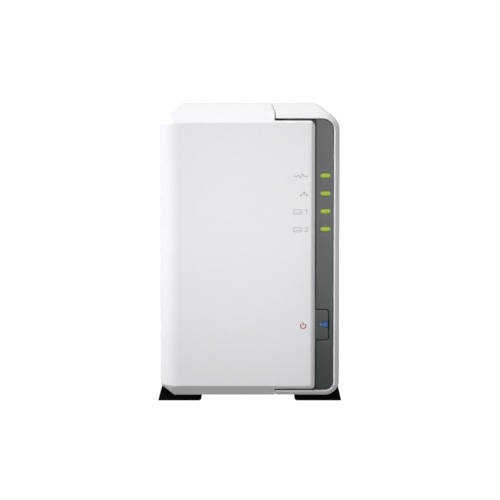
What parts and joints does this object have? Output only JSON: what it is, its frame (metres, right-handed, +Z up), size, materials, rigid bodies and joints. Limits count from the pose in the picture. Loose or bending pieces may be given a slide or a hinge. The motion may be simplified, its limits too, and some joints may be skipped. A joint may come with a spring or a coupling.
{
  "type": "network attached storage unit",
  "caption": "Two-bay desktop storage box with a slide-off white cover, dark light strip with power button, rear fan, sockets and rubber feet.",
  "frame": {"origin": "on the floor, under the middle of the unit's bounding box", "axes": "+Z up, front faces -Y, +X to the viewer's right when facing the front"},
  "size_m": [0.1046, 0.2256, 0.165],
  "materials": {
    "white_plastic": "fine matt moulded",
    "dark_grey_plastic": "satin moulded",
    "black_rubber": "matt",
    "black_plastic": "satin moulded",
    "green_light_pipe": "clear moulded, lit green",
    "blue_light_pipe": "clear moulded, lit blue",
    "zinc_steel": "zinc plated sheet",
    "nickel_screw": "nickel plated",
    "rear_panel_paint": "powder coated sheet",
    "cast_aluminium": "as cast and machined",
    "anodised_aluminium": "anodised",
    "circuit_board": "solder-mask green",
    "tinned_shield": "tinned sheet",
    "coin_cell_steel": "stainless",
    "lead_jacket": "extruded jacket",
    "flat_cable": "laminated film"
  },
  "bodies": {
    "base": {"base_shell": "white_plastic", "board_screw_1": "nickel_screw", "board_screw_2": "nickel_screw", "cage_screw_1": "nickel_screw", "cage_screw_2": "nickel_screw", "coin_cell": "coin_cell_steel", "cover_screw_lower": "nickel_screw", "cover_screw_upper": "nickel_screw", "cpu_heat_sink": "anodised_aluminium", "dc_power_jack": "black_plastic", "drive_1_light_pipe": "green_light_pipe", "drive_1_screw_1": "nickel_screw", "drive_1_screw_2": "nickel_screw", "drive_1_screw_3": "nickel_screw", "drive_1_screw_4": "nickel_screw", "drive_2_light_pipe": "green_light_pipe", "drive_2_screw_1": "nickel_screw", "drive_2_screw_2": "nickel_screw", "drive_2_screw_3": "nickel_screw", "drive_2_screw_4": "nickel_screw", "drive_cage": "zinc_steel", "fan_frame": "black_plastic", "fan_lead": "lead_jacket", "fan_plug": "black_plastic", "fan_screw_1": "nickel_screw", "fan_screw_2": "nickel_screw", "fan_screw_3": "nickel_screw", "fan_screw_4": "nickel_screw", "foot_front_right": "black_rubber", "foot_rear_right": "black_rubber", "front_bezel": "dark_grey_plastic", "hard_drive_1": "cast_aluminium", "hard_drive_1_board": "circuit_board", "hard_drive_2": "cast_aluminium", "hard_drive_2_board": "circuit_board", "lan_jack": "tinned_shield", "led_board": "circuit_board", "led_board_cable": "flat_cable", "link_board_slot": "black_plastic", "main_board": "circuit_board", "network_light_pipe": "green_light_pipe", "power_switch": "black_plastic", "rear_panel": "rear_panel_paint", "rear_panel_screw_lower": "nickel_screw", "rear_panel_screw_upper": "nickel_screw", "reset_switch": "black_plastic", "sata_link_board": "circuit_board", "sata_socket_1": "black_plastic", "sata_socket_2": "black_plastic", "status_light_pipe": "green_light_pipe", "usb_jack": "tinned_shield"},
    "cover": {"cover_shell": "white_plastic", "foot_front_left": "black_rubber", "foot_rear_left": "black_rubber"},
    "power_button": {"power_button": "dark_grey_plastic", "power_button_lens": "blue_light_pipe"},
    "reset_button": {"reset_button": "black_plastic"},
    "fan_rotor": {"fan_rotor": "black_plastic"}
  },
  "joints": [
    {"name": "cover_slide", "type": "slide", "parent": "base", "child": "cover", "axis": [0, -1, 0], "range_m": [0, 0.235]},
    {"name": "power_button_press", "type": "slide", "parent": "base", "child": "power_button", "axis": [0, 1, 0], "range_m": [0, 0.001], "stiffness_N_per_m": 800},
    {"name": "reset_button_press", "type": "slide", "parent": "base", "child": "reset_button", "axis": [0, -1, 0], "range_m": [0, 0.0006], "stiffness_N_per_m": 800},
    {"name": "fan_spin", "type": "hinge", "parent": "base", "child": "fan_rotor", "pos_m": [0, 0.095, 0.108], "axis": [0, 1, 0], "continuous": true}
  ]
}
